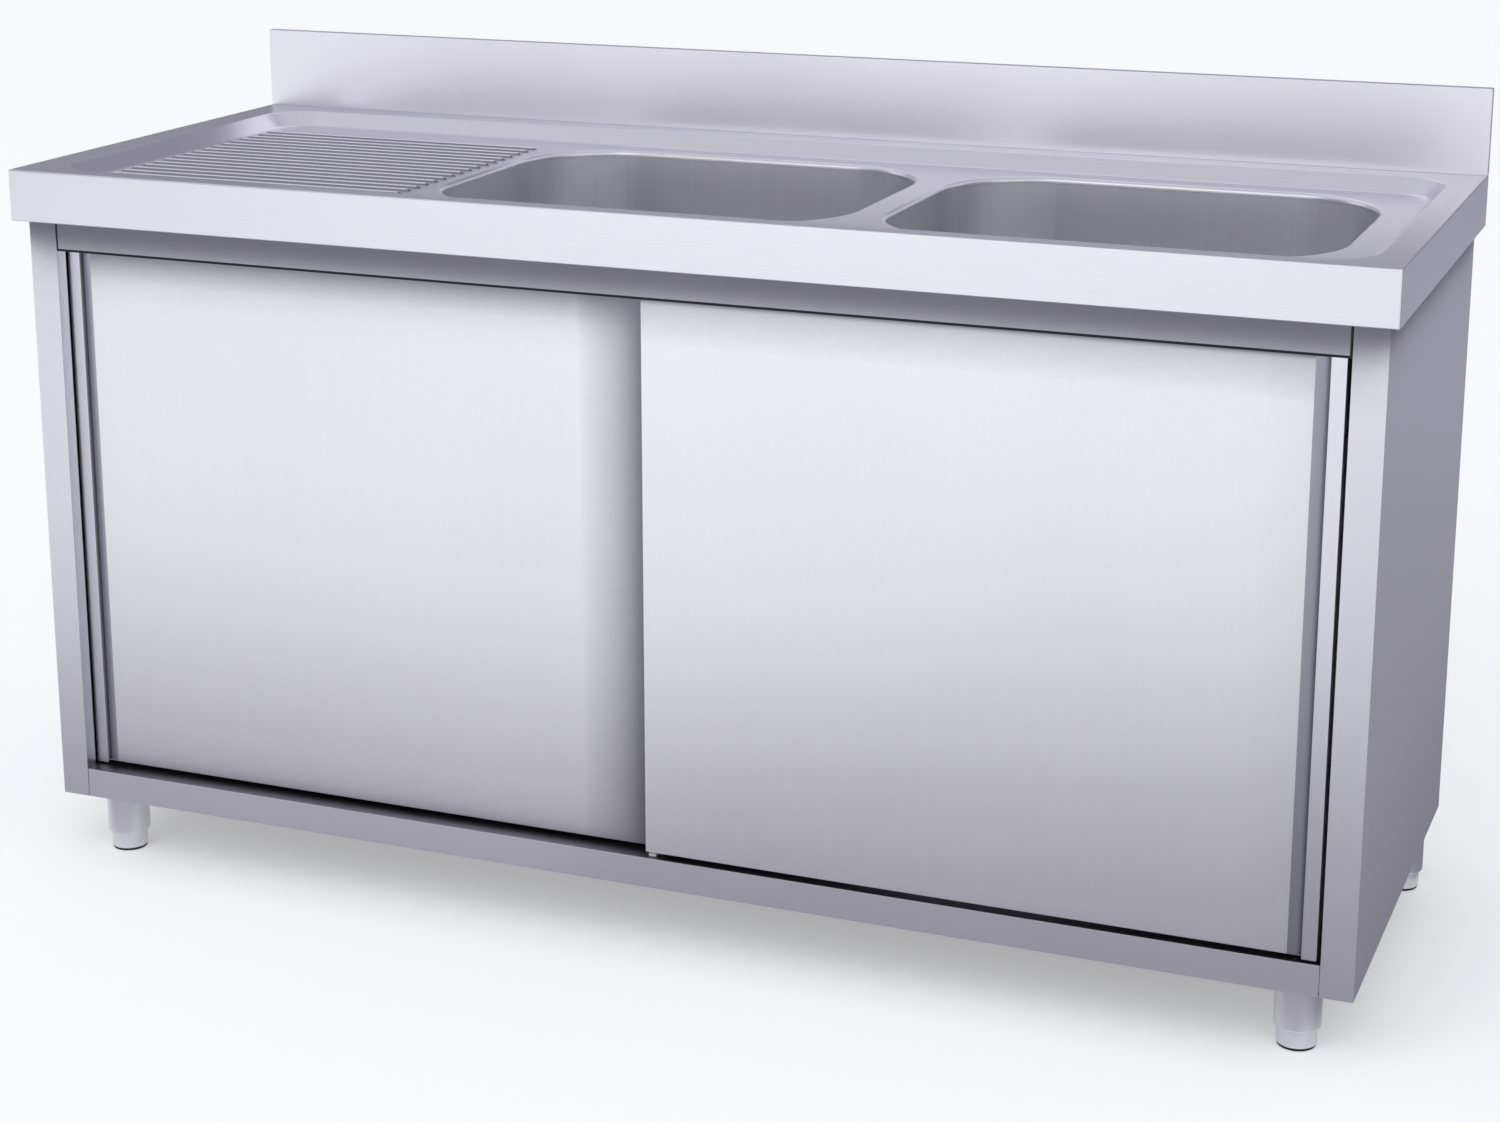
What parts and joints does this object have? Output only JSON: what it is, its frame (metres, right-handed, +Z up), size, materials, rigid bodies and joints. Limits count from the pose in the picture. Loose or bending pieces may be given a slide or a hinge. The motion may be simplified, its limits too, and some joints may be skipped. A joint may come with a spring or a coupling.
{
  "type": "stainless steel sink cabinet",
  "caption": "Stainless steel floor cabinet with a pressed worktop, drainer, bowls, splashback, sliding doors and adjustable feet.",
  "frame": {"origin": "on the floor, under the middle of the worktop's footprint", "axes": "+X to the right along the worktop, +Y to the rear, +Z up; the doors face -Y"},
  "size_m": [1.6, 0.6, 0.95],
  "materials": {
    "satin_stainless": "satin ground stainless steel sheet",
    "polished_stainless": "deep drawn stainless steel, fine satin",
    "fastener_steel": "bright stainless fasteners",
    "track_aluminium": "mill finished extrusion",
    "black_rubber": "matt moulded rubber",
    "white_nylon": "moulded nylon",
    "white_pipe_plastic": "moulded polypropylene",
    "honeycomb_board": "board core, hidden in the doors"
  },
  "bodies": {
    "carcass": {"worktop": "satin_stainless", "splashback": "satin_stainless", "left_bowl": "polished_stainless", "right_bowl": "polished_stainless", "drainer_stiffeners": "satin_stainless", "left_side_panel": "satin_stainless", "right_side_panel": "satin_stainless", "rear_panel": "satin_stainless", "rear_panel_rivets": "fastener_steel", "front_top_rail": "satin_stainless", "door_track": "track_aluminium", "track_screws": "fastener_steel", "track_stops": "black_rubber", "base_shelf": "satin_stainless", "shelf_stiffener": "satin_stainless", "bottom_guide": "white_nylon", "front_left_leg": "satin_stainless", "front_right_leg": "satin_stainless", "rear_left_leg": "satin_stainless", "rear_right_leg": "satin_stainless", "leg_plugs": "white_nylon", "leg_screws": "fastener_steel", "left_waste": "polished_stainless", "right_waste": "polished_stainless", "waste_gaskets": "black_rubber", "waste_nuts": "white_pipe_plastic", "waste_manifold": "white_pipe_plastic", "slip_nuts": "white_pipe_plastic", "trap_body": "white_pipe_plastic", "trap_cup": "white_pipe_plastic", "outlet_pipe": "white_pipe_plastic"},
    "left_door": {"left_door_skin": "satin_stainless", "left_door_pull": "satin_stainless", "left_door_back": "satin_stainless", "left_door_core": "honeycomb_board", "left_door_hangers": "satin_stainless", "left_door_axles": "fastener_steel", "left_door_screws": "fastener_steel"},
    "right_door": {"right_door_skin": "satin_stainless", "right_door_pull": "satin_stainless", "right_door_back": "satin_stainless", "right_door_core": "honeycomb_board", "right_door_hangers": "satin_stainless", "right_door_axles": "fastener_steel", "right_door_screws": "fastener_steel"},
    "left_outer_wheel": {"left_outer_roller": "white_nylon"},
    "left_inner_wheel": {"left_inner_roller": "white_nylon"},
    "right_outer_wheel": {"right_outer_roller": "white_nylon"},
    "right_inner_wheel": {"right_inner_roller": "white_nylon"},
    "front_left_adjuster": {"front_left_foot": "satin_stainless", "front_left_pad": "black_rubber"},
    "front_right_adjuster": {"front_right_foot": "satin_stainless", "front_right_pad": "black_rubber"},
    "rear_left_adjuster": {"rear_left_foot": "satin_stainless", "rear_left_pad": "black_rubber"},
    "rear_right_adjuster": {"rear_right_foot": "satin_stainless", "rear_right_pad": "black_rubber"},
    "left_basket": {"left_strainer": "polished_stainless"},
    "right_basket": {"right_strainer": "polished_stainless"}
  },
  "joints": [
    {"name": "left_door_slide", "type": "slide", "parent": "carcass", "child": "left_door", "axis": [1, 0, 0], "range_m": [0, 0.7272]},
    {"name": "right_door_slide", "type": "slide", "parent": "carcass", "child": "right_door", "axis": [1, 0, 0], "range_m": [-0.7272, 0]},
    {"name": "left_outer_roller_spin", "type": "hinge", "parent": "left_door", "child": "left_outer_wheel", "pos_m": [-0.6935, -0.2555, 0.8148], "axis": [0, 1, 0], "range_deg": [0, 3800]},
    {"name": "left_inner_roller_spin", "type": "hinge", "parent": "left_door", "child": "left_inner_wheel", "pos_m": [-0.0565, -0.2555, 0.8148], "axis": [0, 1, 0], "range_deg": [0, 3800]},
    {"name": "right_outer_roller_spin", "type": "hinge", "parent": "right_door", "child": "right_outer_wheel", "pos_m": [0.688, -0.2741, 0.8148], "axis": [0, 1, 0], "range_deg": [-3800, 0]},
    {"name": "right_inner_roller_spin", "type": "hinge", "parent": "right_door", "child": "right_inner_wheel", "pos_m": [0.051, -0.2741, 0.8148], "axis": [0, 1, 0], "range_deg": [-3800, 0]},
    {"name": "front_left_foot_screw", "type": "slide", "parent": "carcass", "child": "front_left_adjuster", "axis": [0, 0, 1], "range_m": [-0.02, 0.015]},
    {"name": "front_right_foot_screw", "type": "slide", "parent": "carcass", "child": "front_right_adjuster", "axis": [0, 0, 1], "range_m": [-0.02, 0.015]},
    {"name": "rear_left_foot_screw", "type": "slide", "parent": "carcass", "child": "rear_left_adjuster", "axis": [0, 0, 1], "range_m": [-0.02, 0.015]},
    {"name": "rear_right_foot_screw", "type": "slide", "parent": "carcass", "child": "rear_right_adjuster", "axis": [0, 0, 1], "range_m": [-0.02, 0.015]},
    {"name": "left_strainer_lift", "type": "slide", "parent": "carcass", "child": "left_basket", "axis": [0, 0, 1], "range_m": [0, 0.06]},
    {"name": "right_strainer_lift", "type": "slide", "parent": "carcass", "child": "right_basket", "axis": [0, 0, 1], "range_m": [0, 0.06]}
  ],
  "couplings": [
    {"joint": "left_outer_roller_spin", "follows": "left_door_slide", "rad_per_m": 90.909},
    {"joint": "left_inner_roller_spin", "follows": "left_door_slide", "rad_per_m": 90.909},
    {"joint": "right_outer_roller_spin", "follows": "right_door_slide", "rad_per_m": 90.909},
    {"joint": "right_inner_roller_spin", "follows": "right_door_slide", "rad_per_m": 90.909}
  ]
}
